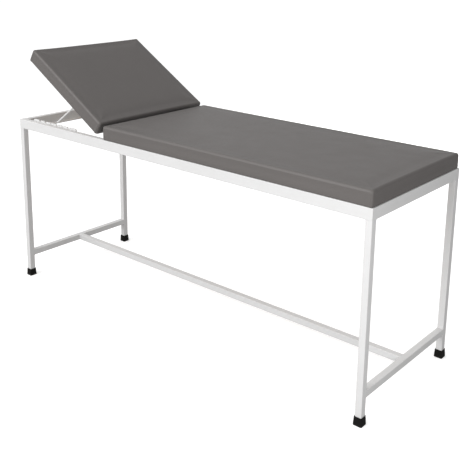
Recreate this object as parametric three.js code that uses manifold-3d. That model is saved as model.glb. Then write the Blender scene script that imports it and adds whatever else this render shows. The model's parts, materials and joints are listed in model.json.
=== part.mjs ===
// Examination couch: a tube frame with a fixed main pad and a hinged head section on a rod stay.
// Millimetres. +Z is up, +X runs from the head end to the foot end, the near side is at -Y.
// The origin is on the floor, below the middle of the frame.

import * as THREE from 'three';
import { mergeVertices } from 'three/addons/utils/BufferGeometryUtils.js';
import Module from 'manifold-3d';

const wasm = await Module();
wasm.setup();

// ---- driving dimensions ----

// Frame
const LENGTH = 1800; // over the side rails, along X
const WIDTH = 600; // over the side rails, along Y
const FRAME_TOP = 742; // top face of the rails
const TUBE = 25; // side of the square tube, and width of the rails
const RAIL_HEIGHT = 40;
const WALL = 1.5;
const TUBE_RADIUS = 2; // outer corner radius of every tube
const STRETCHER_TOP = 120;
const GAP = 0.3; // between pieces that are welded, glued or rest on each other

// Feet
const FOOT_HEIGHT = 31;
const FOOT_FLOOR = 6; // rubber under the leg
const FOOT_FLARE_TOP = 2.2; // how far the foot stands out from the leg at its top
const FOOT_FLARE_BOTTOM = 4;
const FOOT_CORNER_RADIUS = 3.5;

// Pads: vinyl cover over foam on a plywood board
const PAD_WIDTH = 598;
const PAD_HEIGHT = 58;
const PAD_TOP_RADIUS = 14;
const PAD_BOTTOM_RADIUS = 3;
const SQUARE_RADIUS = 0.1; // edges of the board, and of the cover's hollow round it
const PAD_CORNER_RADIUS = 12; // in plan
const COVER = 1.5; // vinyl thickness
const SKIN = COVER + GAP; // from a pad's outside to what is in it
const COVER_LIP = 35; // width of the cover folded under the board
const BOARD = 12;
const MAIN_PAD_START = -341; // head end of the main pad
const MAIN_PAD_END = 897; // set back a little from the foot rail's outer face
const HEAD_PAD_LENGTH = 501;

// Head hinge
const HINGE_X = -375;
const HINGE_Z = 742;
const HINGE_SPREAD = 180; // from the middle plane to each hinge
const HEAD_TILT = 31.2; // degrees above flat, with the stay in the third notch
const HEAD_PAD_SETBACK = 12; // from the hinge axis to the pad's lower end
const HEAD_PAD_RISE = 10; // from the hinge axis to the pad's underside
const LEAF_LENGTH = 44;
const LEAF_WIDTH = 60;
const LEAF = 2; // plate thickness
const KNUCKLE_RADIUS = 4.7;
const KNUCKLE_LENGTH = 20; // the middle knuckle, on the moving leaf
const PIN_RADIUS = 3;
const PIN_CLEARANCE = 0.1;
const KNUCKLE_CLEARANCE = 1; // from the middle knuckle to the fixed leaf's notch
const WEB = 2.5; // upright part of the moving leaf
const WEB_STANDOFF = 0.3; // how far it stands out past the knuckle
const PIN_HEAD = { radius: 4.2, length: 1.2 };
const LEAF_SCREW_SETBACK = 26; // from the hinge axis
const LEAF_SCREW_SPREAD = 18; // from the leaf's middle

// Rod stay and racks
const ROD_RADIUS = 4;
const STAY_PIVOT_X = -214; // from the hinge axis, with the head flat
const STAY_PIVOT_Z = 3;
const STAY_LENGTH = 186; // pivot to crossbar axis
const STAY_SPREAD = 240; // from the middle plane to each arm
const EYE_RADIUS = 4.5;
const EYE_LENGTH = 8;
const PIVOT_PIN_HEAD = { radius: EYE_RADIUS, length: 1.5 };
const BRACKET = { length: 24, width: 44, thickness: 2, earGap: 0.5, earRadius: 6, screwSpread: 16 };
const RACK_THICKNESS = 4;
const RACK_TOP = 749.5;
const RACK_BOTTOM = 714.5;
const RACK_START = -829;
const RACK_END = -538;
const RACK_CHAMFER = 4;
const NOTCHES = 6;
const REST_NOTCH = 2; // counted from the head end, from 0
const NOTCH_PITCH = 39.5;
const NOTCH_RADIUS = 5;
const NOTCH_FLOOR = 742.3;
const BAR_Z = NOTCH_FLOOR + ROD_RADIUS + 0.2; // stay crossbar axis in a notch
const BAR_END_CLEARANCE = 0.5; // from the crossbar's end to the rack

// Crossbars under the pads
const HINGE_CROSSBAR_SETBACK = 6; // from the hinge axis to the crossbar's near face
const HINGE_CROSSBAR_WIDTH = 40;
const HINGE_CROSSBAR_HEIGHT = 20;
const SUPPORT_X = [-160, 280, 720];
const BOARD_SCREW_SPREAD = 200;

// Screws: radii of head and shank, height of the head and length of the shank
const BOARD_SCREW = { head: 4.5, headHeight: 3, shank: 2.5, length: TUBE + 2 * GAP + SKIN + 10 };
const LEAF_SCREW = { head: 4, headHeight: 2, shank: 2, length: 12 };
const BRACKET_SCREW = { head: 3.5, headHeight: 2, shank: 1.8, length: 12 };
const SCREW_CLEARANCE = 0.25; // round the shank
const DRILL_LENGTH = 60; // of the cutters for screw holes, longer than any plate, tube wall or board

// ---- materials ----

const paint = () => new THREE.MeshStandardMaterial({ color: 0xe9e9e9, roughness: 0.35, metalness: 0 });
const vinyl = () => new THREE.MeshStandardMaterial({ color: 0x77736f, roughness: 0.5, metalness: 0 });
const rubber = () => new THREE.MeshStandardMaterial({ color: 0x1a1818, roughness: 0.8, metalness: 0 });
const foam = () => new THREE.MeshStandardMaterial({ color: 0xe6dcae, roughness: 1, metalness: 0 });
const plywood = () => new THREE.MeshStandardMaterial({ color: 0xb98f5c, roughness: 0.7, metalness: 0 });
const zinc = () => new THREE.MeshStandardMaterial({ color: 0xb8bbbf, roughness: 0.35, metalness: 1 });

// ---- solids ----

function toManifold(geometry) {
  const plain = geometry.clone();
  plain.deleteAttribute('normal');
  plain.deleteAttribute('uv');
  const merged = mergeVertices(plain, 1e-4);
  const vertProperties = new Float32Array(merged.attributes.position.array);
  const triVerts = new Uint32Array(merged.index.array);
  return new wasm.Manifold(new wasm.Mesh({ numProp: 3, vertProperties, triVerts }));
}

function toGeometry(manifold) {
  const mesh = manifold.getMesh();
  const geometry = new THREE.BufferGeometry();
  geometry.setAttribute('position', new THREE.BufferAttribute(mesh.vertProperties, 3));
  geometry.setIndex(new THREE.BufferAttribute(mesh.triVerts, 1));
  geometry.computeVertexNormals();
  return geometry;
}

function cut(geometry, cutters) {
  const body = cutters.reduce((left, cutter) => left.subtract(toManifold(cutter)), toManifold(geometry));
  return toGeometry(body);
}

function join(geometries) {
  const [first, ...rest] = geometries.map(toManifold);
  return toGeometry(rest.reduce((body, next) => body.add(next), first));
}

function overlap(geometries) {
  const [first, ...rest] = geometries.map(toManifold);
  return toGeometry(rest.reduce((body, next) => body.intersect(next), first));
}

function box(length, width, height) {
  return new THREE.BoxGeometry(length, width, height);
}

// A cylinder along Y, centred on the origin.
function rod(radius, length, sides = 16) {
  return new THREE.CylinderGeometry(radius, radius, length, sides);
}

// A cylinder that stands on z = 0.
function post(radius, height, sides = 10) {
  return rod(radius, height, sides).rotateX(Math.PI / 2).translate(0, 0, height / 2);
}

// A rectangle with its four corners rounded, centred on the origin. Corner order: bottom left, then round.
function roundedRectangle(width, height, radii) {
  const [x, y] = [width / 2, height / 2];
  const [bottomLeft, bottomRight, topRight, topLeft] = radii;
  const quarter = Math.PI / 2;
  const outline = new THREE.Shape();
  outline.absarc(x - bottomRight, -y + bottomRight, bottomRight, -quarter, 0);
  outline.absarc(x - topRight, y - topRight, topRight, 0, quarter);
  outline.absarc(-x + topLeft, y - topLeft, topLeft, quarter, 2 * quarter);
  outline.absarc(-x + bottomLeft, -y + bottomLeft, bottomLeft, 2 * quarter, 3 * quarter);
  return outline;
}

// A prism of an outline in XY, standing on z = 0.
function prism(outline, depth, curveSegments = 4) {
  return new THREE.ExtrudeGeometry(outline, { depth, bevelEnabled: false, curveSegments });
}

function evenRadii(radius) {
  return [radius, radius, radius, radius];
}

// A rectangular tube along X, open at both ends and centred on the origin.
function tube(length, width, height) {
  const outline = roundedRectangle(width, height, evenRadii(TUBE_RADIUS));
  outline.holes.push(roundedRectangle(width - 2 * WALL, height - 2 * WALL, evenRadii(TUBE_RADIUS - WALL)));
  return prism(outline, length, 3).translate(0, 0, -length / 2).rotateX(Math.PI / 2).rotateZ(Math.PI / 2);
}

// Cuts both ends of a tube along X at 45 degrees, shortest on its +Y side.
function mitred(geometry, width) {
  const position = geometry.attributes.position;
  for (let i = 0; i < position.count; i += 1) {
    const inset = position.getY(i) + width / 2;
    position.setX(i, position.getX(i) - Math.sign(position.getX(i)) * inset);
  }
  geometry.computeVertexNormals();
  return geometry;
}

// A block with its long top and bottom edges rounded differently, and its upright edges rounded in plan.
function cushion(length, width, height, topRadius, bottomRadius, cornerRadius) {
  const radii = [bottomRadius, bottomRadius, topRadius, topRadius];
  const alongY = prism(roundedRectangle(length, height, radii), width).translate(0, 0, -width / 2);
  const alongX = prism(roundedRectangle(width, height, radii), length).translate(0, 0, -length / 2);
  const plan = prism(roundedRectangle(length, width, evenRadii(cornerRadius)), height);
  return overlap([
    plan.translate(0, 0, -height / 2),
    alongY.rotateX(Math.PI / 2),
    alongX.rotateX(Math.PI / 2).rotateZ(Math.PI / 2),
  ]);
}

// ---- the assembly ----

const couch = new THREE.Group();
const headTilt = THREE.MathUtils.degToRad(HEAD_TILT);

// The head section is modelled flat, with the hinge axis as its origin, and then tilted.
const headSection = new THREE.Group();
headSection.position.set(HINGE_X, 0, HINGE_Z);
headSection.rotation.y = headTilt;
couch.add(headSection);

// The stay is modelled with its pivot as origin and its arms towards -X, and then turned down
// until its crossbar is at the height of the notches.
const stayPivot = new THREE.Vector3(STAY_PIVOT_X, 0, STAY_PIVOT_Z)
  .applyAxisAngle(new THREE.Vector3(0, 1, 0), headTilt)
  .add(headSection.position);
const stayDrop = Math.asin((stayPivot.z - BAR_Z) / STAY_LENGTH);
const restNotchX = stayPivot.x - STAY_LENGTH * Math.cos(stayDrop);
const stay = new THREE.Group();
stay.position.copy(stayPivot);
stay.rotation.y = -stayDrop;
couch.add(stay);

function place(group, name, geometry, material, [x, y, z], turnZ = 0) {
  const mesh = new THREE.Mesh(geometry, material);
  mesh.name = name;
  mesh.position.set(x, y, z);
  mesh.rotation.z = turnZ;
  group.add(mesh);
  return mesh;
}

const sides = [['near', -1], ['far', 1]];
const ends = [['head', -1], ['foot', 1]];

// ---- frame ----

function addRails() {
  const z = FRAME_TOP - RAIL_HEIGHT / 2;
  const endGap = GAP / Math.SQRT2;
  for (const [side, sign] of sides) {
    const rail = mitred(tube(LENGTH - 2 * endGap, TUBE, RAIL_HEIGHT), TUBE);
    place(couch, `side_rail_${side}`, rail, paint(), [0, sign * (WIDTH - TUBE) / 2, z], sign < 0 ? 0 : Math.PI);
  }
  for (const [end, sign] of ends) {
    const rail = mitred(tube(WIDTH - 2 * endGap, TUBE, RAIL_HEIGHT), TUBE);
    place(couch, `${end}_rail`, rail, paint(), [sign * (LENGTH - TUBE) / 2, 0, z], sign * Math.PI / 2);
  }
}

function foot() {
  const bottom = TUBE + 2 * FOOT_FLARE_BOTTOM;
  const top = TUBE + 2 * FOOT_FLARE_TOP;
  const outer = prism(roundedRectangle(bottom, bottom, evenRadii(FOOT_CORNER_RADIUS)), FOOT_HEIGHT, 4);
  const position = outer.attributes.position;
  for (let i = 0; i < position.count; i += 1) {
    const taper = 1 + (top / bottom - 1) * position.getZ(i) / FOOT_HEIGHT;
    position.setXY(i, position.getX(i) * taper, position.getY(i) * taper);
  }
  const socketSide = TUBE + 2 * GAP;
  const socket = prism(roundedRectangle(socketSide, socketSide, evenRadii(TUBE_RADIUS)), FOOT_HEIGHT, 3);
  return cut(outer, [socket.translate(0, 0, FOOT_FLOOR)]);
}

function addLegsAndFeet() {
  const legBottom = FOOT_FLOOR + GAP;
  const legTop = FRAME_TOP - RAIL_HEIGHT - GAP;
  for (const [end, signX] of ends) {
    for (const [side, signY] of sides) {
      const x = signX * (LENGTH - TUBE) / 2;
      const y = signY * (WIDTH - TUBE) / 2;
      const leg = tube(legTop - legBottom, TUBE, TUBE).rotateY(Math.PI / 2);
      place(couch, `leg_${end}_${side}`, leg, paint(), [x, y, (legTop + legBottom) / 2]);
      place(couch, `foot_${end}_${side}`, foot(), rubber(), [x, y, 0]);
    }
  }
}

function addStretchers() {
  const z = STRETCHER_TOP - TUBE / 2;
  for (const [end, sign] of ends) {
    const stretcher = tube(WIDTH - 2 * TUBE - 2 * GAP, TUBE, TUBE);
    place(couch, `cross_stretcher_${end}`, stretcher, paint(), [sign * (LENGTH - TUBE) / 2, 0, z], Math.PI / 2);
  }
  place(couch, 'long_stretcher', tube(LENGTH - 2 * TUBE - 2 * GAP, TUBE, TUBE), paint(), [0, 0, z]);
}

const crossbarLength = WIDTH - 2 * TUBE - 2 * GAP;

// Screws have a round head below z = 0 and a shank above it.
function screw({ head, headHeight, shank, length }) {
  const cap = post(head, headHeight).translate(0, 0, -headHeight);
  const pin = post(shank, length + headHeight / 2).translate(0, 0, -headHeight / 2);
  return join([cap, pin]);
}

// A cutter for a screw hole, centred on z = 0.
function drill(shankRadius) {
  return post(shankRadius + SCREW_CLEARANCE, DRILL_LENGTH).translate(0, 0, -DRILL_LENGTH / 2);
}

function addSupportCrossbars() {
  for (const [index, x] of SUPPORT_X.entries()) {
    const holes = sides.map(([, sign]) => drill(BOARD_SCREW.shank).translate(sign * BOARD_SCREW_SPREAD, 0, 0));
    const bar = cut(tube(crossbarLength, TUBE, TUBE), holes);
    place(couch, `support_crossbar_${index + 1}`, bar, paint(), [x, 0, FRAME_TOP - TUBE / 2], Math.PI / 2);
    for (const [side, sign] of sides) {
      const bottom = [x, sign * BOARD_SCREW_SPREAD, FRAME_TOP - TUBE - GAP];
      place(couch, `board_screw_${index + 1}_${side}`, screw(BOARD_SCREW), zinc(), bottom);
    }
  }
}

// ---- racks ----

function rackOutline() {
  const outline = new THREE.Shape();
  outline.moveTo(RACK_START, RACK_BOTTOM);
  outline.lineTo(RACK_END, RACK_BOTTOM);
  outline.lineTo(RACK_END, RACK_TOP - RACK_CHAMFER);
  outline.lineTo(RACK_END - RACK_CHAMFER, RACK_TOP);
  for (let notch = NOTCHES - 1; notch >= 0; notch -= 1) {
    const x = restNotchX + (notch - REST_NOTCH) * NOTCH_PITCH;
    outline.lineTo(x + NOTCH_RADIUS, RACK_TOP);
    outline.absarc(x, NOTCH_FLOOR + NOTCH_RADIUS, NOTCH_RADIUS, 0, Math.PI, true);
    outline.lineTo(x - NOTCH_RADIUS, RACK_TOP);
  }
  outline.lineTo(RACK_START + RACK_CHAMFER, RACK_TOP);
  outline.lineTo(RACK_START, RACK_TOP - RACK_CHAMFER);
  outline.closePath();
  return outline;
}

function addRacks() {
  const offset = WIDTH / 2 - TUBE - GAP - RACK_THICKNESS / 2;
  for (const [side, sign] of sides) {
    const plate = prism(rackOutline(), RACK_THICKNESS, 6).translate(0, 0, -RACK_THICKNESS / 2);
    place(couch, `notched_rack_${side}`, plate.rotateX(Math.PI / 2), paint(), [0, sign * offset, 0]);
  }
}

// ---- pads ----

// Positions are pad centres in the group's own frame. Holes are where screws enter the board from below.
function addPad(group, name, length, [x, y, z], holes) {
  const foamRadius = PAD_TOP_RADIUS - SKIN;
  const cornerRadius = PAD_CORNER_RADIUS - SKIN;
  const underside = z - PAD_HEIGHT / 2;
  const drills = () => holes.map(([holeX, holeY, radius]) =>
    drill(radius).translate(holeX - x, holeY - y, -PAD_HEIGHT / 2));

  const outer = cushion(length, PAD_WIDTH, PAD_HEIGHT, PAD_TOP_RADIUS, PAD_BOTTOM_RADIUS, PAD_CORNER_RADIUS);
  const hollow = cushion(length - 2 * COVER, PAD_WIDTH - 2 * COVER, PAD_HEIGHT - 2 * COVER,
    PAD_TOP_RADIUS - COVER, SQUARE_RADIUS, PAD_CORNER_RADIUS - COVER);
  const opening = box(length - 2 * COVER_LIP, PAD_WIDTH - 2 * COVER_LIP, PAD_HEIGHT);
  const cover = cut(outer, [hollow, opening.translate(0, 0, -PAD_HEIGHT / 2), ...drills()]);
  place(group, `${name}_cover`, cover, vinyl(), [x, y, z]);

  const planLength = length - 2 * SKIN;
  const planWidth = PAD_WIDTH - 2 * SKIN;
  const boardShape = prism(roundedRectangle(planLength, planWidth, evenRadii(cornerRadius)), BOARD);
  const board = cut(boardShape.translate(0, 0, -PAD_HEIGHT / 2 + SKIN), drills());
  place(group, `${name}_board`, board, plywood(), [x, y, z]);

  const foamHeight = PAD_HEIGHT - 2 * SKIN - BOARD - GAP;
  const block = cushion(planLength, planWidth, foamHeight, foamRadius, SQUARE_RADIUS, cornerRadius);
  const foamZ = underside + SKIN + BOARD + GAP + foamHeight / 2;
  place(group, `${name}_foam`, block, foam(), [x, y, foamZ]);
}

function addMainPad() {
  const length = MAIN_PAD_END - MAIN_PAD_START;
  const centre = [MAIN_PAD_START + length / 2, 0, FRAME_TOP + GAP + PAD_HEIGHT / 2];
  const holes = SUPPORT_X.flatMap((x) =>
    sides.map(([, sign]) => [x, sign * BOARD_SCREW_SPREAD, BOARD_SCREW.shank]));
  addPad(couch, 'main_pad', length, centre, holes);
}

function addHeadPad() {
  const centre = [-HEAD_PAD_SETBACK - HEAD_PAD_LENGTH / 2, 0, HEAD_PAD_RISE + PAD_HEIGHT / 2];
  const leafHoles = sides.flatMap(([, hingeSide]) => sides.map(([, screwSide]) =>
    [-LEAF_SCREW_SETBACK, hingeSide * HINGE_SPREAD + screwSide * LEAF_SCREW_SPREAD, LEAF_SCREW.shank]));
  const bracketHoles = sides.flatMap(([, arm]) => sides.map(([, screwSide]) =>
    [STAY_PIVOT_X, arm * STAY_SPREAD + screwSide * BRACKET.screwSpread, BRACKET_SCREW.shank]));
  addPad(headSection, 'head_pad', HEAD_PAD_LENGTH, centre, [...leafHoles, ...bracketHoles]);
}

// ---- head hinges ----

function knuckle(length, y) {
  return rod(KNUCKLE_RADIUS, length).translate(0, y, 0);
}

function leafScrewHoles(x) {
  return sides.map(([, sign]) => drill(LEAF_SCREW.shank).translate(x, sign * LEAF_SCREW_SPREAD, 0));
}

const pinBore = () => rod(PIN_RADIUS + PIN_CLEARANCE, LEAF_WIDTH + 10);

// The fixed leaf lies on the hinge crossbar and carries the two outer knuckles.
function fixedLeaf() {
  const half = LEAF_WIDTH / 2;
  const recess = KNUCKLE_LENGTH / 2 + GAP;
  const clear = KNUCKLE_RADIUS + KNUCKLE_CLEARANCE;
  const corners = [[LEAF_LENGTH, -half], [LEAF_LENGTH, half], [0, half], [0, recess], [clear, recess],
    [clear, -recess], [0, -recess], [0, -half]];
  const outline = new THREE.Shape(corners.map(([x, y]) => new THREE.Vector2(x, y)));
  const plate = prism(outline, LEAF).translate(0, 0, -KNUCKLE_RADIUS);
  const outerLength = half - recess;
  const knuckles = sides.map(([, sign]) => knuckle(outerLength, sign * (recess + outerLength / 2)));
  return cut(join([plate, ...knuckles]), [pinBore(), ...leafScrewHoles(LEAF_SCREW_SETBACK)]);
}

// The moving leaf is cranked up from the middle knuckle to the underside of the head pad.
function movingLeaf() {
  const top = HEAD_PAD_RISE - GAP;
  const webX = -KNUCKLE_RADIUS - WEB_STANDOFF + WEB / 2;
  const plate = box(LEAF_LENGTH + webX, LEAF_WIDTH, LEAF);
  plate.translate(webX - (LEAF_LENGTH + webX) / 2 + WEB / 2, 0, top - LEAF / 2);
  const web = box(WEB, KNUCKLE_LENGTH, top).translate(webX, 0, top / 2);
  const body = join([plate, web, knuckle(KNUCKLE_LENGTH, 0)]);
  return cut(body, [pinBore(), ...leafScrewHoles(-LEAF_SCREW_SETBACK)]);
}

// A pin along Y with a flat button head at each end.
function headedPin(radius, length, headRadius, headLength) {
  const half = length / 2;
  const end = half + headLength;
  const upper = [[radius, half], [headRadius, half], [headRadius, end], [0, end]];
  const lower = upper.map(([r, y]) => [r, -y]).reverse();
  return new THREE.LatheGeometry([...lower, ...upper].map(([r, y]) => new THREE.Vector2(r, y)), 16);
}

function addHinges() {
  for (const [side, sign] of sides) {
    const y = sign * HINGE_SPREAD;
    place(couch, `hinge_fixed_leaf_${side}`, fixedLeaf(), zinc(), [HINGE_X, y, HINGE_Z]);
    place(headSection, `hinge_moving_leaf_${side}`, movingLeaf(), zinc(), [0, y, 0]);
    const pin = headedPin(PIN_RADIUS, LEAF_WIDTH + 2 * GAP, PIN_HEAD.radius, PIN_HEAD.length);
    place(couch, `hinge_pin_${side}`, pin, zinc(), [HINGE_X, y, HINGE_Z]);
    for (const [screwSide, screwSign] of sides) {
      const screwY = y + screwSign * LEAF_SCREW_SPREAD;
      const name = `hinge_screw_${side}_${screwSide}`;
      const topOfLeaf = [HINGE_X + LEAF_SCREW_SETBACK, screwY, HINGE_Z - KNUCKLE_RADIUS + LEAF + GAP];
      place(couch, `${name}_fixed`, screw(LEAF_SCREW).rotateX(Math.PI), zinc(), topOfLeaf);
      const bottomOfLeaf = [-LEAF_SCREW_SETBACK, screwY, HEAD_PAD_RISE - 2 * GAP - LEAF];
      place(headSection, `${name}_moving`, screw(LEAF_SCREW), zinc(), bottomOfLeaf);
    }
  }
}

function addHingeCrossbar() {
  const x = HINGE_X + HINGE_CROSSBAR_SETBACK + HINGE_CROSSBAR_WIDTH / 2;
  const holes = sides.flatMap(([, hingeSide]) => leafScrewHoles(HINGE_X + LEAF_SCREW_SETBACK - x)
    .map((hole) => hole.translate(0, hingeSide * HINGE_SPREAD, DRILL_LENGTH / 2)));
  const bar = tube(crossbarLength, HINGE_CROSSBAR_WIDTH, HINGE_CROSSBAR_HEIGHT).rotateZ(Math.PI / 2);
  const z = HINGE_Z - KNUCKLE_RADIUS - GAP - HINGE_CROSSBAR_HEIGHT / 2;
  place(couch, 'hinge_crossbar', cut(bar, holes), paint(), [x, 0, z]);
}

// ---- stay ----

// A base plate under the head board with two ears that hold the pivot pin.
function stayBracket() {
  const top = HEAD_PAD_RISE + SKIN - GAP - STAY_PIVOT_Z;
  const plate = box(BRACKET.length, BRACKET.width, BRACKET.thickness);
  plate.translate(0, 0, top - BRACKET.thickness / 2);
  const ears = sides.flatMap(([, sign]) => {
    const y = sign * (EYE_LENGTH / 2 + BRACKET.earGap + BRACKET.thickness / 2);
    const web = box(2 * BRACKET.earRadius, BRACKET.thickness, top).translate(0, y, top / 2);
    return [web, rod(BRACKET.earRadius, BRACKET.thickness).translate(0, y, 0)];
  });
  const holes = sides.map(([, sign]) => drill(BRACKET_SCREW.shank).translate(0, sign * BRACKET.screwSpread, 0));
  return cut(join([plate, ...ears]), [pinBore(), ...holes]);
}

// A rod with an eye for the pivot pin; it ends against the stay's crossbar.
function stayArm() {
  const length = STAY_LENGTH - ROD_RADIUS - GAP;
  const bar = rod(ROD_RADIUS, length).rotateZ(Math.PI / 2).translate(-length / 2, 0, 0);
  return cut(join([bar, rod(EYE_RADIUS, EYE_LENGTH)]), [pinBore()]);
}

function addStay() {
  const earOutside = EYE_LENGTH + 2 * BRACKET.earGap + 2 * BRACKET.thickness;
  const bracketTop = HEAD_PAD_RISE + SKIN - GAP;
  const screwZ = bracketTop - BRACKET.thickness - GAP;
  for (const [side, sign] of sides) {
    const y = sign * STAY_SPREAD;
    place(stay, `stay_arm_${side}`, stayArm(), paint(), [0, y, 0]);
    place(headSection, `stay_bracket_${side}`, stayBracket(), zinc(), [STAY_PIVOT_X, y, STAY_PIVOT_Z]);
    const pin = headedPin(PIN_RADIUS, earOutside + 2 * GAP, PIVOT_PIN_HEAD.radius, PIVOT_PIN_HEAD.length);
    place(headSection, `stay_pivot_pin_${side}`, pin, zinc(), [STAY_PIVOT_X, y, STAY_PIVOT_Z]);
    for (const [screwSide, screwSign] of sides) {
      const position = [STAY_PIVOT_X, y + screwSign * BRACKET.screwSpread, screwZ];
      place(headSection, `bracket_screw_${side}_${screwSide}`, screw(BRACKET_SCREW), zinc(), position);
    }
  }
  const rackFace = WIDTH / 2 - TUBE - GAP - RACK_THICKNESS;
  const crossbar = rod(ROD_RADIUS, 2 * (rackFace - BAR_END_CLEARANCE));
  place(stay, 'stay_crossbar', crossbar, paint(), [-STAY_LENGTH, 0, 0]);
}

addRails();
addLegsAndFeet();
addStretchers();
addSupportCrossbars();
addRacks();
addHingeCrossbar();
addMainPad();
addHeadPad();
addHinges();
addStay();

export default couch;
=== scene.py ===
"""Examination couch: vinyl upholstery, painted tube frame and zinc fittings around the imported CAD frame."""

import json
import math

import bmesh
import bpy
from mathutils import Matrix, Vector, noise


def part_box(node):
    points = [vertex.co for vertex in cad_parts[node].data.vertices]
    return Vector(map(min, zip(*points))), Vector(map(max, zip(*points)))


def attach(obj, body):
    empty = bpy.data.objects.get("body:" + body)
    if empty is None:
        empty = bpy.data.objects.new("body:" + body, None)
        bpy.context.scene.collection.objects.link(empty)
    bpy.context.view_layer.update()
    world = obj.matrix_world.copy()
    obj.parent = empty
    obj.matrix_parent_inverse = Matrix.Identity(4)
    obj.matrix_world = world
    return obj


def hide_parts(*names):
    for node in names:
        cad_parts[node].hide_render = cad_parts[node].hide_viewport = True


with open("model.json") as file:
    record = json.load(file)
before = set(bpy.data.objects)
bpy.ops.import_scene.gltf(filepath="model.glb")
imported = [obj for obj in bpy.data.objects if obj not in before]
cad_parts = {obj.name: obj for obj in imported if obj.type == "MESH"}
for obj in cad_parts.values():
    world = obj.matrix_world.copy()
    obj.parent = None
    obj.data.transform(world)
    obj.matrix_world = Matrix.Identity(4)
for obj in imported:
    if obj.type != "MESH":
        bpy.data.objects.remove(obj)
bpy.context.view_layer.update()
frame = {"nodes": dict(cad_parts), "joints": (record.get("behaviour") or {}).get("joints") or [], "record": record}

# ---- sizes, in metres -------------------------------------------------------------------------

# the pads
EDGE_RADIUS = 0.010  # the pads' top edges and upright corners
TUCK_RADIUS = 0.004  # where the cover turns under the pad
COVER_LIP = 0.035  # how far the cover reaches in under the board
COVER_THICKNESS = 0.0015
SWELL_ROOM = 0.002  # the cover's top starts this much lower, because the foam then pushes it up
CELL = 0.009  # the cover's grid
EDGE_CELLS = 5  # across a rounded edge
LIP_CELLS = 6  # from there to the lip's inner edge
SIDE_PULL = 0.0015  # the long sides are pulled in this much between their corners
END_PULL = 0.003  # and the ends this much
PULL_START = 0.016  # height of the pull's lower end, above the board's edge
PULL_FULL = 0.034  # height from which it is full
FOAM_GAP = 0.004  # between the foam's faces and the cover's starting shape

# how the foam pushes the covers out
SWELL_PRESSURE = 4.0
SWELL_FRAMES = 20
TOP_SWELL = 0.0027  # the most that the foam may move the cover's top
SIDE_SWELL = 0.0015  # and its sides
UNDULATION = 0.00025  # slow unevenness of upholstered foam
LONG_WAVES = 9  # per metre
SHORT_WAVES = 23

# the vinyl folded round each corner
LIP_CELL = (COVER_LIP - EDGE_RADIUS) / LIP_CELLS
FOLD_INSET = EDGE_RADIUS + LIP_CELL  # from each upright corner to the folded vinyl's edge, on a grid line
FOLD_RISE = 0.0014  # how far the folded vinyl stands out
FOLD_STEP = 0.0007  # width of the step at its edge
FOLD_TAPER = 2.2  # it stands out fully up to 1 - 1 / FOLD_TAPER of the height, and then less and less
FOLD_END = 0.9  # where its edge stops, as a share of the height

# staples
STAPLE_PITCH = 0.03
STAPLE_LENGTH = 0.010
STAPLE_WIRE = 0.0009
STAPLE_SINK = 0.2  # how far the crown is pressed in, as a share of the wire
STAPLE_SHOULDER = 0.3  # where the legs become upright, as a share of their depth
STAPLE_DEPTH = 2 * COVER_THICKNESS
STAPLE_INSET = 0.010  # from the lip's inner edge
STAPLE_FACETS = 6

# welds
WELD_RADIUS = 0.0020
WELD_RIPPLE = 0.00025
WELD_PITCH = 0.0035  # from one ripple of the bead to the next
WELD_RINGS = 4  # cross-sections per ripple
WELD_TIP = 0.35  # the bead's thickness at its ends
WELD_TAPER = 3  # cross-sections over which it becomes full
WELD_FACETS = 8
WELD_DEPTH = 0.0006  # how far a seam's filling reaches into each tube
WELD_RECESS = 0.00008  # and how far it lies below their faces
STITCH = 0.02  # length of the weld stitches under a rack
STITCHES = 4
COLLAR_LENGTH = 0.0045  # the weld fillet round the end of a stay arm
COLLAR_RISE = 0.0014
COLLAR_SINK = 0.0015  # how far it reaches into the crossbar
COLLAR_FACETS = 20

# ---- places, from the frame -------------------------------------------------------------------

HINGE = Vector(frame["joints"][0]["pos_m"])
HEAD_TILT = -math.radians(frame["joints"][0]["range_deg"][0])
HEAD_PLACE = Matrix.Translation(HINGE) @ Matrix.Rotation(HEAD_TILT, 4, "Y")
MAIN_PLACE = Matrix.Identity(4)


def box_in(place, node):
    """Lowest and highest corner of a CAD node in the frame that place turns into the row frame."""
    back = place.inverted()
    points = [back @ vertex.co for vertex in frame["nodes"][node].data.vertices]
    low = Vector([min(point[axis] for point in points) for axis in range(3)])
    high = Vector([max(point[axis] for point in points) for axis in range(3)])
    return low, high


# ---- materials --------------------------------------------------------------------------------

VINYL_DARK = (0.1155, 0.1065, 0.1025)
VINYL_LIGHT = (0.1195, 0.1100, 0.1060)
VINYL_VALLEY_SHADE = (0.084, 0.077, 0.073)  # painted shade between the pebbles of the grain
PAINT_LIGHT = (0.60, 0.598, 0.598)
PAINT_DARK = (0.55, 0.545, 0.535)
RUBBER_BLACK = (0.006, 0.0055, 0.0052)
RUBBER_DUST = (0.05, 0.047, 0.044)
DUST_HEIGHT = 0.007  # above the floor
ZINC_LIGHT = (0.62, 0.64, 0.67)
ZINC_DARK = (0.50, 0.51, 0.52)
WOOD_LIGHT = (0.56, 0.39, 0.22)
WOOD_DARK = (0.42, 0.26, 0.12)
WOOD_PORE = (0.28, 0.16, 0.07)
# painted shade in the foam's pores
FOAM_PORE_SHADE = (0.55, 0.45, 0.22)
FOAM_LIGHT = (0.80, 0.71, 0.42)
WHITE = (1, 1, 1, 1)


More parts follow.
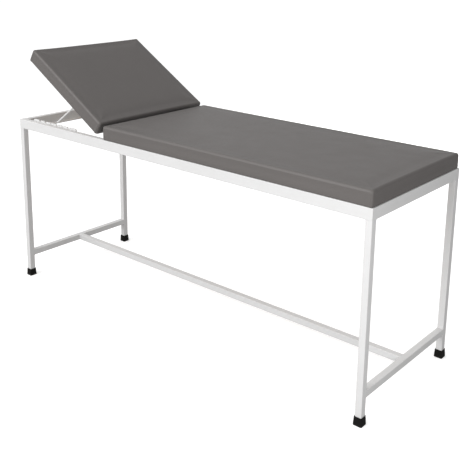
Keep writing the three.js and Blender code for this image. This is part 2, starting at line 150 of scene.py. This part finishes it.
class Surface:
    """A principled material and the small node helpers that every finish below uses."""

    def __init__(self, name, **values):
        self.material = bpy.data.materials.new(name)
        self.material.use_nodes = True
        self.tree = self.material.node_tree
        self.shader = self.tree.nodes["Principled BSDF"]
        for socket, value in values.items():
            self.shader.inputs[socket.replace("_", " ")].default_value = value
        self.place = self.tree.nodes.new("ShaderNodeTexCoord").outputs["Object"]

    def link(self, source, target):
        self.tree.links.new(source, target)

    def stretched(self, scale):
        """Object coordinates multiplied by scale, one factor per axis."""
        mapping = self.tree.nodes.new("ShaderNodeMapping")
        mapping.inputs["Scale"].default_value = scale
        self.link(self.place, mapping.inputs["Vector"])
        return mapping.outputs["Vector"]

    def noise(self, scale, detail, roughness=0.5, vector=None, distortion=0.0):
        node = self.tree.nodes.new("ShaderNodeTexNoise")
        node.inputs["Scale"].default_value = scale
        node.inputs["Detail"].default_value = detail
        node.inputs["Roughness"].default_value = roughness
        node.inputs["Distortion"].default_value = distortion
        self.link(vector or self.place, node.inputs["Vector"])
        return node.outputs["Fac"]

    def cells(self, scale):
        node = self.tree.nodes.new("ShaderNodeTexVoronoi")
        node.inputs["Scale"].default_value = scale
        self.link(self.place, node.inputs["Vector"])
        return node.outputs["Distance"]

    def spread(self, value, low, high, to_low, to_high):
        """A value from low to high, spread over to_low to to_high."""
        node = self.tree.nodes.new("ShaderNodeMapRange")
        node.inputs["From Min"].default_value = low
        node.inputs["From Max"].default_value = high
        node.inputs["To Min"].default_value = to_low
        node.inputs["To Max"].default_value = to_high
        self.link(value, node.inputs["Value"])
        return node.outputs["Result"]

    def blend(self, amount, first, second):
        """A colour between first and second, each a colour or another node's output."""
        node = self.tree.nodes.new("ShaderNodeMix")
        node.data_type = "RGBA"
        factor, colour_a, colour_b = (node.inputs[i] for i in (0, 6, 7))
        self.link(amount, factor)
        for socket, colour in ((colour_a, first), (colour_b, second)):
            if isinstance(colour, tuple):
                socket.default_value = (*colour, 1.0)
            else:
                self.link(colour, socket)
        return node.outputs[2]

    def product(self, first, second):
        node = self.tree.nodes.new("ShaderNodeMath")
        node.operation = "MULTIPLY"
        self.link(first, node.inputs[0])
        self.link(second, node.inputs[1])
        return node.outputs[0]

    def height(self):
        """The object coordinates' Z: the height above the floor for everything on the frame."""
        node = self.tree.nodes.new("ShaderNodeSeparateXYZ")
        self.link(self.place, node.inputs["Vector"])
        return node.outputs["Z"]

    def bump(self, height, strength, distance, below=None):
        node = self.tree.nodes.new("ShaderNodeBump")
        node.inputs["Strength"].default_value = strength
        node.inputs["Distance"].default_value = distance
        self.link(height, node.inputs["Height"])
        if below:
            self.link(below, node.inputs["Normal"])
        return node.outputs["Normal"]

    def finish(self, colour, roughness=None, normal=None):
        """The material, with these outputs on its shader's sockets."""
        for socket, source in (("Base Color", colour), ("Roughness", roughness), ("Normal", normal)):
            if source:
                self.link(source, self.shader.inputs[socket])
        return self.material


def vinyl():
    """Upholstery vinyl: soft satin, pebbled leather grain with painted shade in its valleys, faint unevenness of
    colour and gloss.
    """
    surface = Surface("vinyl", Specular_IOR_Level=0.32)
    pebbles = surface.cells(620)
    creases = surface.noise(300, 4, 0.6, distortion=0.4)
    drift = surface.noise(5, 3)
    tone = surface.blend(surface.spread(drift, 0.3, 0.7, 0, 1), VINYL_DARK, VINYL_LIGHT)
    # painted shade: the colour is darker between the pebbles of the grain
    colour = surface.blend(surface.spread(pebbles, 0.0, 0.8, 0.0, 0.5), tone, VINYL_VALLEY_SHADE)
    gloss = surface.spread(surface.noise(14, 4), 0.3, 0.7, 0.435, 0.475)
    grain = surface.bump(creases, 0.4, 0.0004)
    grain = surface.bump(pebbles, 0.6, 0.0004, grain)
    return surface.finish(colour, gloss, grain)


def powder_coat():
    """White powder coat: satin, with orange peel and a little handling grime."""
    surface = Surface("powder_coat", Specular_IOR_Level=0.5)
    peel = surface.noise(420, 2, 0.4)
    speckle = surface.noise(1600, 1)
    grime = surface.spread(surface.noise(9, 5, 0.65), 0.45, 0.75, 0, 0.35)
    colour = surface.blend(grime, PAINT_LIGHT, PAINT_DARK)
    gloss = surface.spread(surface.noise(30, 3), 0.3, 0.7, 0.30, 0.40)
    skin = surface.bump(speckle, 0.08, 0.00005)
    skin = surface.bump(peel, 0.22, 0.00015, skin)
    return surface.finish(colour, gloss, skin)


def rubber():
    """Moulded black rubber, dusty where it meets the floor."""
    surface = Surface("rubber", Specular_IOR_Level=0.12)
    grit = surface.noise(900, 3, 0.6)
    near_floor = surface.spread(surface.height(), 0.0, DUST_HEIGHT, 0.75, 0.0)
    dust = surface.product(near_floor, surface.noise(120, 4))
    colour = surface.blend(dust, RUBBER_BLACK, RUBBER_DUST)
    gloss = surface.spread(surface.noise(60, 3), 0.3, 0.7, 0.55, 0.75)
    return surface.finish(colour, gloss, surface.bump(grit, 0.35, 0.00015))


def zinc_steel():
    """Zinc-plated steel: crystalline patches and fine rolling scratches."""
    surface = Surface("zinc_steel", Metallic=1.0)
    patches = surface.cells(160)
    scratches = surface.noise(1.0, 3, 0.6, vector=surface.stretched((90, 1800, 1800)))
    colour = surface.blend(patches, ZINC_LIGHT, ZINC_DARK)
    gloss = surface.spread(scratches, 0.3, 0.7, 0.28, 0.46)
    return surface.finish(colour, gloss, surface.bump(scratches, 0.12, 0.00005))


def plywood():
    """Birch plywood: long grain, darker fibres and open pores."""
    surface = Surface("plywood", Specular_IOR_Level=0.3)
    along = surface.stretched((2.2, 34, 34))
    fibres = surface.stretched((16, 900, 900))
    figure = surface.noise(1.0, 4, 0.55, vector=along, distortion=1.6)
    lines = surface.noise(1.0, 3, 0.7, vector=fibres)
    wood = surface.blend(surface.spread(figure, 0.3, 0.7, 0, 1), WOOD_LIGHT, WOOD_DARK)
    colour = surface.blend(surface.spread(lines, 0.5, 0.8, 0, 0.5), wood, WOOD_PORE)
    gloss = surface.spread(lines, 0.3, 0.7, 0.55, 0.72)
    return surface.finish(colour, gloss, surface.bump(lines, 0.3, 0.0002))


def foam():
    """Open-cell upholstery foam, with painted shade in its pores."""
    surface = Surface("foam", Specular_IOR_Level=0.2, Roughness=0.9)
    pores = surface.cells(700)
    # painted shade: the colour is darker towards the middle of each pore
    colour = surface.blend(surface.spread(pores, 0, 0.7, 0, 1), FOAM_PORE_SHADE, FOAM_LIGHT)
    return surface.finish(colour, normal=surface.bump(pores, 0.8, 0.0006))


FINISHES = {
    "vinyl": vinyl(),
    "powder_coat": powder_coat(),
    "rubber": rubber(),
    "zinc_steel": zinc_steel(),
    "plywood": plywood(),
    "foam": foam(),
}


def finish_cad_nodes():
    """Gives every CAD node the finish of its material slot."""
    for part in frame["record"]["subparts"]:
        piece = frame["nodes"][part["node"]]
        if not piece.material_slots:
            piece.data.materials.append(None)
        for material_slot in piece.material_slots:
            material_slot.material = FINISHES[part["material_slot"]]


def mesh_object(name, form, material):
    """A mesh object made from a finished bmesh, with one material."""
    mesh = bpy.data.meshes.new(name)
    form.to_mesh(mesh)
    form.free()
    mesh.materials.append(material)
    piece = bpy.data.objects.new(name, mesh)
    bpy.context.scene.collection.objects.link(piece)
    return piece


def new_piece(name, form, slot, smooth=True):
    """A piece of the couch, with the finish of a material slot."""
    piece = mesh_object(name, form, FINISHES[slot])
    piece.data.polygons.foreach_set("use_smooth", [smooth] * len(piece.data.polygons))
    return piece


# ---- pads -------------------------------------------------------------------------------------


def grid_lines(low, high):
    """Grid lines across a pad: close together round the edges, one at the lip's edge, then even."""
    near = [EDGE_RADIUS * i / EDGE_CELLS for i in range(EDGE_CELLS)]
    near += [EDGE_RADIUS + LIP_CELL * i for i in range(LIP_CELLS)]
    inner = high - low - 2 * COVER_LIP
    cells = math.ceil(inner / CELL)
    middle = [COVER_LIP + inner * i / cells for i in range(cells + 1)]
    far = [high - low - distance for distance in reversed(near)]
    return [low + distance for distance in near + middle + far]


def wall_lines(low, high):
    """Grid heights up a pad's wall: close together round the tuck and the top edge."""
    tuck = [low, low + TUCK_RADIUS / 2]
    rise = high - low - TUCK_RADIUS - EDGE_RADIUS
    cells = math.ceil(rise / CELL)
    wall = [low + TUCK_RADIUS + rise * i / cells for i in range(cells)]
    edge = [high - EDGE_RADIUS + EDGE_RADIUS * i / EDGE_CELLS for i in range(EDGE_CELLS + 1)]
    return tuck + wall + edge


def round_off(across, up, radius):
    """Moves a point of a square corner, given as its distances from the two faces, onto the arc."""
    a = radius - across
    b = radius - up
    if a <= 0 or b <= 0:
        return across, up
    scale = max(a, b) / math.hypot(a, b)
    return radius - a * scale, radius - b * scale


def rounded(point, low, high):
    """A point of a pad's box, moved onto its round upright corners, top edges and tuck."""
    centre = (low + high) / 2
    half = (high - low) / 2
    x, y = abs(point.x - centre.x), abs(point.y - centre.y)
    inset = min(half.x - x, half.y - y)
    u, v = x - (half.x - EDGE_RADIUS), y - (half.y - EDGE_RADIUS)
    if u > 0 and v > 0:
        outward = Vector((u, v)).normalized()
        arc = max(u, v) * outward
        x, y = half.x - EDGE_RADIUS + arc.x, half.y - EDGE_RADIUS + arc.y
    else:
        outward = Vector((1, 0)) if u > v else Vector((0, 1))
    if point.z > centre.z:
        across, down = round_off(inset, high.z - point.z, EDGE_RADIUS)
        z = high.z - down
    else:
        across, up = round_off(inset, point.z - low.z, TUCK_RADIUS)
        z = low.z + up
    x, y = x - outward.x * (across - inset), y - outward.y * (across - inset)
    rise = min(1.0, max(0.0, (z - low.z - PULL_START) / (PULL_FULL - PULL_START)))
    pull = rise * rise * (3 - 2 * rise)
    end_pull = END_PULL * pull * (1 - (y / half.y) ** 4)
    side_pull = SIDE_PULL * pull * (1 - (x / half.x) ** 4)
    x, y = x - end_pull * x / half.x, y - side_pull * y / half.y
    return Vector((centre.x + math.copysign(x, point.x - centre.x),
                   centre.y + math.copysign(y, point.y - centre.y), z))


def pad_form(low, high, window):
    """The rounded box of a pad as a quad grid, with the window under it left open if asked for.

    Returns the bmesh and the vertices of its underside."""
    xs = grid_lines(low.x, high.x)
    ys = grid_lines(low.y, high.y)
    zs = wall_lines(low.z, high.z)
    last = (len(xs) - 1, len(ys) - 1, len(zs) - 1)
    lip = EDGE_CELLS + LIP_CELLS
    form = bmesh.new()
    made = {}

    def vertex(i, j, k):
        if (i, j, k) not in made:
            made[i, j, k] = form.verts.new(rounded(Vector((xs[i], ys[j], zs[k])), low, high))
        return made[i, j, k]

    def quad(*corners):
        form.faces.new([vertex(*corner) for corner in corners])

    for i in range(last[0]):
        for j in range(last[1]):
            quad((i, j, last[2]), (i + 1, j, last[2]), (i + 1, j + 1, last[2]), (i, j + 1, last[2]))
            inside = lip <= i < last[0] - lip and lip <= j < last[1] - lip
            if not (window and inside):
                quad((i, j + 1, 0), (i + 1, j + 1, 0), (i + 1, j, 0), (i, j, 0))
    for k in range(last[2]):
        for i in range(last[0]):
            quad((i, 0, k), (i + 1, 0, k), (i + 1, 0, k + 1), (i, 0, k + 1))
            quad((i, last[1], k + 1), (i + 1, last[1], k + 1), (i + 1, last[1], k), (i, last[1], k))
        for j in range(last[1]):
            quad((0, j, k + 1), (0, j + 1, k + 1), (0, j + 1, k), (0, j, k))
            quad((last[0], j, k), (last[0], j + 1, k), (last[0], j + 1, k + 1), (last[0], j, k + 1))
    under = [found for (i, j, k), found in made.items() if k <= 1]
    return form, under


def swell(piece, held, high):
    """Lets the foam push the stapled cover out by cloth simulation, each point by a limited amount."""
    start = [vertex.co.copy() for vertex in piece.data.vertices]
    outward = [vertex.normal.copy() for vertex in piece.data.vertices]
    group = piece.vertex_groups.new(name="stapled")
    group.add(held, 1.0, "REPLACE")
    cloth = piece.modifiers.new("Cloth", "CLOTH")
    cloth.settings.vertex_group_mass = group.name
    cloth.settings.use_pressure = True
    cloth.settings.uniform_pressure_force = SWELL_PRESSURE
    cloth.settings.effector_weights.gravity = 0
    cloth.collision_settings.use_collision = False
    scene = bpy.context.scene
    for frame_number in range(1, SWELL_FRAMES + 1):
        scene.frame_set(frame_number)
    depsgraph = bpy.context.evaluated_depsgraph_get()
    swollen = [vertex.co.copy() for vertex in piece.evaluated_get(depsgraph).data.vertices]
    piece.modifiers.remove(cloth)
    piece.vertex_groups.remove(group)
    scene.frame_set(1)
    for vertex, before, after, normal in zip(piece.data.vertices, start, swollen, outward):
        move = after - before
        move -= min(0.0, move.dot(normal)) * normal  # the foam is behind it
        most = TOP_SWELL if before.z > high.z - EDGE_RADIUS else SIDE_SWELL
        if move.length > 0:
            move *= most * math.tanh(move.length / most) / move.length
        vertex.co = before + move


def work_in(piece, low, high):
    """Slow unevenness of the top, and the doubled vinyl where the cover is folded round each corner."""
    centre = (low + high) / 2
    half = (high - low) / 2
    for vertex in piece.data.vertices:
        point = vertex.co
        rise = (point.z - low.z) / (high.z - low.z)
        wave = noise.noise(point * LONG_WAVES) + 0.5 * noise.noise(point * SHORT_WAVES)
        point.z += UNDULATION * wave * min(1.0, max(0.0, rise))
        along = half.x - abs(point.x - centre.x)
        across = half.y - abs(point.y - centre.y)
        if rise <= 0 or across > EDGE_RADIUS / 2 or along > FOLD_INSET + LIP_CELL + FOLD_STEP:
            continue
        side_x = math.copysign(1, point.x - centre.x)
        side_y = math.copysign(1, point.y - centre.y)
        if along < FOLD_INSET + FOLD_STEP:
            ramp = min(1.0, max(0.0, along / EDGE_RADIUS))
            point.y += side_y * FOLD_RISE * ramp * ramp * min(1.0, (1 - rise) * FOLD_TAPER)
        elif rise < FOLD_END:
            point.x += side_x * (along - FOLD_INSET - FOLD_STEP)


def add_cover(name, node, place, body):
    """A pad's vinyl cover: one skin over the foam, tucked and stapled under the board."""
    low, high = box_in(place, node)
    form, under = pad_form(low, high - Vector((0, 0, SWELL_ROOM)), window=True)
    form.verts.index_update()
    held = [vertex.index for vertex in under]
    piece = new_piece(name, form, "vinyl")
    swell(piece, held, high)
    work_in(piece, low, high)
    piece.data.transform(place)
    smooth = piece.modifiers.new("Subdivision", "SUBSURF")
    smooth.levels = 1
    smooth.render_levels = 1
    skin = piece.modifiers.new("Skin", "SOLIDIFY")
    skin.thickness = COVER_THICKNESS
    skin.offset = -1
    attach(piece, body)
    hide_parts(node)


def add_foam(name, node, place, body):
    """The foam block inside a pad, with softly rounded edges."""
    low, high = box_in(place, node)
    gap = Vector((FOAM_GAP, FOAM_GAP, 0))
    form, _ = pad_form(low + gap, high - gap - Vector((0, 0, FOAM_GAP)), window=False)
    piece = new_piece(name, form, "foam")
    piece.data.transform(place)
    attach(piece, body)
    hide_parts(node)


# ---- staples and weld beads -------------------------------------------------------------------


def add_wire(form, points, radii, sides):
    """A closed round wire through the points, with flat ends."""
    rings = []
    for index, (point, radius) in enumerate(zip(points, radii)):
        ahead = points[min(index + 1, len(points) - 1)] - points[max(index - 1, 0)]
        turn = ahead.to_track_quat("Z", "Y").to_matrix()
        ring = []
        for side in range(sides):
            angle = math.tau * side / sides
            offset = Vector((radius * math.cos(angle), radius * math.sin(angle), 0))
            ring.append(form.verts.new(point + turn @ offset))
        rings.append(ring)
    for near, far in zip(rings, rings[1:]):
        for side in range(sides):
            after = (side + 1) % sides
            form.faces.new((near[side], near[after], far[after], far[side]))
    form.faces.new(list(reversed(rings[0])))
    form.faces.new(rings[-1])


def staple(form, middle, along):
    """One staple crown with its two legs, pressed into the lip from below."""
    side = along * STAPLE_LENGTH / 2
    into = Vector((0, 0, STAPLE_DEPTH))
    shoulder = into * STAPLE_SHOULDER
    bend = along * STAPLE_WIRE
    crown = middle - Vector((0, 0, STAPLE_WIRE * STAPLE_SINK))
    points = [crown - side + into, crown - side + shoulder, crown - side + bend]
    points += [crown, crown + side - bend, crown + side + shoulder, crown + side + into]
    add_wire(form, points, [STAPLE_WIRE / 2] * len(points), STAPLE_FACETS)


def add_staples(name, node, place, body):
    """The row of staples that holds the cover's lip to the board."""
    low, high = box_in(place, node)
    inset = COVER_LIP - STAPLE_INSET
    form = bmesh.new()
    spans = ((0, low.x + inset, high.x - inset, (low.y + inset, high.y - inset)),
             (1, low.y + inset, high.y - inset, (low.x + inset, high.x - inset)))
    for axis, start, end, rows in spans:
        count = round((end - start) / STAPLE_PITCH)
        along = Vector((1, 0, 0)) if axis == 0 else Vector((0, 1, 0))
        for row in rows:
            for index in range(count):
                distance = start + (end - start) * (index + 0.5) / count
                middle = Vector((distance, row, low.z)) if axis == 0 else Vector((row, distance, low.z))
                staple(form, middle, along)
    piece = new_piece(name, form, "zinc_steel", smooth=False)
    piece.data.transform(place)
    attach(piece, body)


def weld_bead(form, start, end):
    """A rippled weld bead along an inside corner, with tapered ends."""
    run = end - start
    steps = max(WELD_RINGS, round(run.length / WELD_PITCH * WELD_RINGS))
    points = []
    radii = []
    for step in range(steps + 1):
        taper = min(1.0, WELD_TIP + step / WELD_TAPER, WELD_TIP + (steps - step) / WELD_TAPER)
        ripple = WELD_RIPPLE * math.cos(math.tau * step / WELD_RINGS)
        points.append(start + run * step / steps)
        radii.append(taper * (WELD_RADIUS + ripple))
    add_wire(form, points, radii, WELD_FACETS)


def fill_seam(form, node, axis, at):
    """Weld metal, ground flush, in the seam between a tube's cut end and the tube that it meets."""
    low, high = (Vector(corner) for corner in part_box(node))
    for other in range(3):
        low[other] += WELD_RECESS
        high[other] -= WELD_RECESS
    low[axis] = at - WELD_DEPTH
    high[axis] = at + WELD_DEPTH
    place = Matrix.Translation((low + high) / 2) @ Matrix.Diagonal((*(high - low), 1))
    bmesh.ops.create_cube(form, size=1, matrix=place)


def fill_mitre(form, corner, inner, low_z, high_z):
    """Weld metal in the upright mitre between two rails, from their outer corner to the inner one."""
    run = inner - corner
    start = corner + run.normalized() * WELD_RECESS * 2
    middle = (start + inner) / 2
    size = ((inner - start).length, WELD_DEPTH, high_z - low_z - 2 * WELD_RECESS, 1)
    turn = Matrix.Rotation(math.atan2(run.y, run.x), 4, "Z")
    place = Matrix.Translation((middle.x, middle.y, (low_z + high_z) / 2)) @ turn @ Matrix.Diagonal(size)
    bmesh.ops.create_cube(form, size=1, matrix=place)


def weld_leg(form, end, side):
    """A leg's top under the rails, and the mitre of the rails above it."""
    low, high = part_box(f"leg_{end}_{side}")
    inner = Vector((high.x if end == "head" else low.x, high.y if side == "near" else low.y))
    corner = Vector((low.x + high.x - inner.x, low.y + high.y - inner.y))
    weld_bead(form, Vector((inner.x, low.y, high.z)), Vector((inner.x, high.y, high.z)))
    weld_bead(form, Vector((low.x, inner.y, high.z)), Vector((high.x, inner.y, high.z)))
    fill_seam(form, f"leg_{end}_{side}", 2, high.z)
    rail_low, rail_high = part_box(f"side_rail_{side}")
    fill_mitre(form, corner, inner, rail_low.z, rail_high.z)


def weld_rack(form, side):
    """A rack's ends and stitches along its lower edge, against the side rail's inner face."""
    low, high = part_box(f"notched_rack_{side}")
    y = low.y if side == "near" else high.y
    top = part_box(f"side_rail_{side}")[1].z - WELD_RADIUS
    for x in (low.x, high.x):
        weld_bead(form, Vector((x, y, low.z)), Vector((x, y, top)))
    pitch = (high.x - low.x - STITCH) / (STITCHES - 1)
    for index in range(STITCHES):
        x = low.x + pitch * index
        weld_bead(form, Vector((x, y, low.z)), Vector((x + STITCH, y, low.z)))


def add_frame_welds():
    """Weld beads in the inside corners where the frame's tubes meet, and filling in the flush seams."""
    form = bmesh.new()
    for end in ("head", "foot"):
        for side in ("near", "far"):
            weld_leg(form, end, side)
        low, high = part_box(f"cross_stretcher_{end}")
        for y in (low.y, high.y):
            fill_seam(form, f"cross_stretcher_{end}", 1, y)
            for z in (low.z, high.z):
                weld_bead(form, Vector((low.x, y, z)), Vector((high.x, y, z)))
    low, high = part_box("long_stretcher")
    for x in (low.x, high.x):
        fill_seam(form, "long_stretcher", 0, x)
        for y in (low.y, high.y):
            weld_bead(form, Vector((x, y, low.z)), Vector((x, y, high.z)))
    for name in ("hinge_crossbar", "support_crossbar_1", "support_crossbar_2", "support_crossbar_3"):
        low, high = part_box(name)
        for y in (low.y, high.y):
            fill_seam(form, name, 1, y)
            weld_bead(form, Vector((low.x, y, low.z)), Vector((high.x, y, low.z)))
            for x in (low.x, high.x):
                weld_bead(form, Vector((x, y, low.z)), Vector((x, y, high.z - WELD_RADIUS)))
    for side in ("near", "far"):
        weld_rack(form, side)
    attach(new_piece("frame_welds", form, "powder_coat"), "frame")


def add_stay_welds():
    """A small fillet of weld where each arm of the stay meets its crossbar."""
    form = bmesh.new()
    low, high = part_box("stay_crossbar")
    radius = (high.z - low.z) / 2
    bar = (low + high) / 2
    pivot = Vector(frame["joints"][1]["pos_m"])
    for side in ("near", "far"):
        low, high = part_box(f"stay_arm_{side}")
        axis_y = (low.y + high.y) / 2
        along = Vector((pivot.x - bar.x, 0, pivot.z - bar.z)).normalized()
        middle = Vector((bar.x, axis_y, bar.z)) + along * (radius + COLLAR_LENGTH / 2 - COLLAR_SINK)
        turn = along.to_track_quat("Z", "Y").to_matrix().to_4x4()
        bmesh.ops.create_cone(form, cap_ends=True, segments=COLLAR_FACETS, radius1=radius + COLLAR_RISE,
                              radius2=radius, depth=COLLAR_LENGTH, matrix=Matrix.Translation(middle) @ turn)
    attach(new_piece("stay_welds", form, "powder_coat"), "stay")


# ---- stage ------------------------------------------------------------------------------------

CAMERA_PLACE = (2.0084, -2.2590, 1.5063)
CAMERA_TURN = (76.42, -0.75, 40.21)  # degrees
CAMERA_LENS = 59.0  # millimetres
CAMERA_SHIFT = -0.22  # keeps the legs nearly parallel
FLOOR_REACH = 60  # far enough for its edge not to be seen
SKY_SIDE = (-0.68, -0.58, 0.45)  # the side that the soft light comes from
SKY_NEAR = 1.13  # sky brightness on that side, and opposite it
SKY_FAR = 0.28
BACKDROP = 1.1  # the white that the camera sees
FLOOR_WHITE = 0.85
FLOOR_GLOW = 0.35
FLOOR_BOUNCE = 0.45  # the floor as the object's light sees it
LIGHTS = {  # place, target, size and power
    "key": ((-1.3, -3.8, 2.5), (0, 0, 0.6), (3.0, 2.4), 120),
    "fill": ((2.0, -1.4, 0.9), (0.7, 0, 0.6), (0.7, 0.7), 13),
    "back": ((-0.7, 3.8, 0.42), (-0.7, 0, 0.42), (3.0, 0.7), 50),
}


def add_camera():
    """The photographer's view of the couch."""
    data = bpy.data.cameras.new("camera")
    data.lens = CAMERA_LENS
    data.shift_y = CAMERA_SHIFT
    camera = bpy.data.objects.new("camera", data)
    camera.location = CAMERA_PLACE
    camera.rotation_euler = [math.radians(angle) for angle in CAMERA_TURN]
    bpy.context.scene.collection.objects.link(camera)
    bpy.context.scene.camera = camera


def choose_by_ray(tree, bounced, direct, output):
    """One shader for the light that reaches the object, and another for what the camera sees."""
    paths = tree.nodes.new("ShaderNodeLightPath")
    chosen = tree.nodes.new("ShaderNodeMixShader")
    tree.links.new(paths.outputs["Is Camera Ray"], chosen.inputs[0])
    tree.links.new(bounced.outputs[0], chosen.inputs[1])
    tree.links.new(direct.outputs[0], chosen.inputs[2])
    tree.links.new(chosen.outputs[0], tree.nodes[output].inputs["Surface"])


def add_floor():
    """A plain white floor."""
    form = bmesh.new()
    bmesh.ops.create_grid(form, x_segments=1, y_segments=1, size=FLOOR_REACH)
    surface = Surface("floor", Base_Color=(FLOOR_WHITE, FLOOR_WHITE, FLOOR_WHITE, 1), Roughness=1.0,
                      Specular_IOR_Level=0.0, Emission_Color=WHITE, Emission_Strength=FLOOR_GLOW)
    bounce = surface.tree.nodes.new("ShaderNodeBsdfDiffuse")
    bounce.inputs["Color"].default_value = (FLOOR_BOUNCE, FLOOR_BOUNCE, FLOOR_BOUNCE, 1)
    choose_by_ray(surface.tree, bounce, surface.shader, "Material Output")
    mesh_object("floor", form, surface.material)


def add_sky():
    """Soft studio light from all round: brighter from the left of the camera, plain white behind."""
    world = bpy.data.worlds.new("studio")
    world.use_nodes = True
    tree = world.node_tree
    light = tree.nodes["Background"]
    place = tree.nodes.new("ShaderNodeTexCoord")
    slope = tree.nodes.new("ShaderNodeVectorMath")
    slope.operation = "DOT_PRODUCT"
    slope.inputs[1].default_value = Vector(SKY_SIDE).normalized()
    spread = tree.nodes.new("ShaderNodeMapRange")
    spread.inputs["From Min"].default_value = -1
    spread.inputs["To Min"].default_value = SKY_FAR
    spread.inputs["To Max"].default_value = SKY_NEAR
    backdrop = tree.nodes.new("ShaderNodeBackground")
    backdrop.inputs["Strength"].default_value = BACKDROP
    backdrop.inputs["Color"].default_value = WHITE
    light.inputs["Color"].default_value = WHITE
    tree.links.new(place.outputs["Generated"], slope.inputs[0])
    tree.links.new(slope.outputs["Value"], spread.inputs["Value"])
    tree.links.new(spread.outputs["Result"], light.inputs["Strength"])
    choose_by_ray(tree, light, backdrop, "World Output")
    bpy.context.scene.world = world


def add_light(name, place, target, size, power):
    """A soft light panel that isn't itself seen."""
    data = bpy.data.lights.new(name, "AREA")
    data.shape = "RECTANGLE"
    data.size, data.size_y = size
    data.energy = power
    light = bpy.data.objects.new(name, data)
    light.location = place
    light.visible_camera = False
    light.rotation_euler = (Vector(target) - Vector(place)).to_track_quat("-Z", "Y").to_euler()
    bpy.context.scene.collection.objects.link(light)


# ---- assembly ---------------------------------------------------------------------------------

finish_cad_nodes()
add_cover("main_cover", "main_pad_cover", MAIN_PLACE, "frame")
add_cover("head_cover", "head_pad_cover", HEAD_PLACE, "head_section")
add_foam("main_foam", "main_pad_foam", MAIN_PLACE, "frame")
add_foam("head_foam", "head_pad_foam", HEAD_PLACE, "head_section")
add_staples("main_staples", "main_pad_cover", MAIN_PLACE, "frame")
add_staples("head_staples", "head_pad_cover", HEAD_PLACE, "head_section")
add_frame_welds()
add_stay_welds()

add_camera()
add_floor()
add_sky()
for light_name, light_values in LIGHTS.items():
    add_light(light_name, *light_values)
bpy.context.scene.view_settings.view_transform = "Standard"
